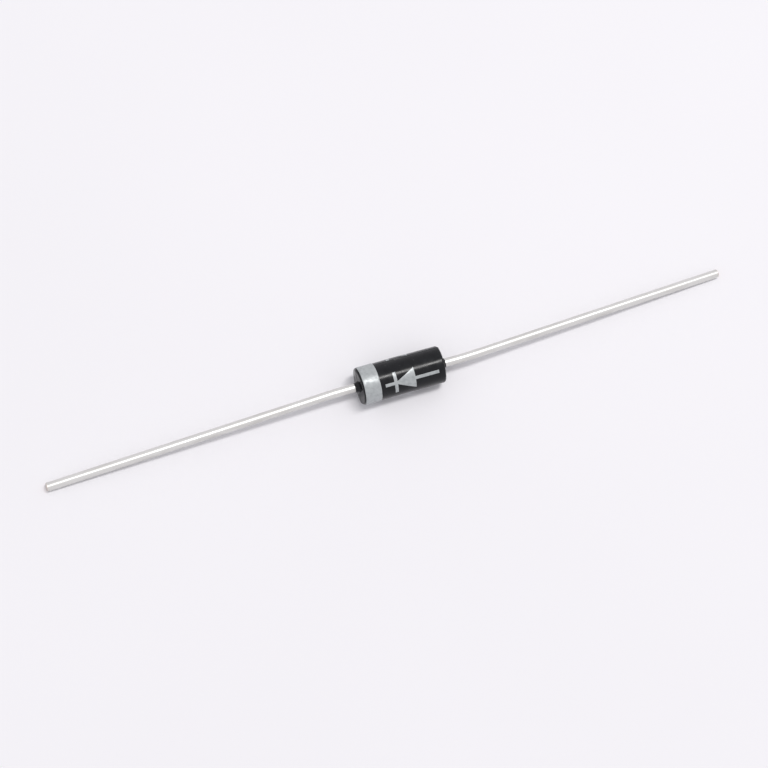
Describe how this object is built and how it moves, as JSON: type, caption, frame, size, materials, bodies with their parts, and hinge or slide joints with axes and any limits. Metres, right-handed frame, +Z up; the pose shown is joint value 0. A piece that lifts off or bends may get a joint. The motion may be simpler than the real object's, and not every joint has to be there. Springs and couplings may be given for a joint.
{
  "type": "axial rectifier diode",
  "caption": "Axial-lead plastic rectifier diode: moulded black cylinder with a silver cathode band and a tinned wire lead at each end.",
  "frame": {"origin": "on the surface that the diode lies on, below the middle of the whole part, leads and body", "axes": "X along the body's axis with the cathode and its band at -X; Z up from the surface; the anode lead's tip is set off towards +Y and the cathode lead's towards -Y"},
  "size_m": [0.0578, 0.0033, 0.0031],
  "materials": {
    "black_epoxy": "fine-grained moulded epoxy, semi-matt",
    "silver_ink": "thin satin silver-grey ink, slightly uneven",
    "tinned_wire": "bright tin plate with faint drawing lines",
    "silicon": "dark grey, polished faces and sawn edges",
    "solder": "dull reflowed solder",
    "white_silicone": "soft matt silicone"
  },
  "bodies": {
    "root": {"moulded_body": "black_epoxy", "cathode_band": "silver_ink", "polarity_mark": "silver_ink", "anode_lead": "tinned_wire", "cathode_lead": "tinned_wire", "silicon_chip": "silicon", "anode_solder": "solder", "cathode_solder": "solder", "junction_coating": "white_silicone"}
  },
  "joints": []
}
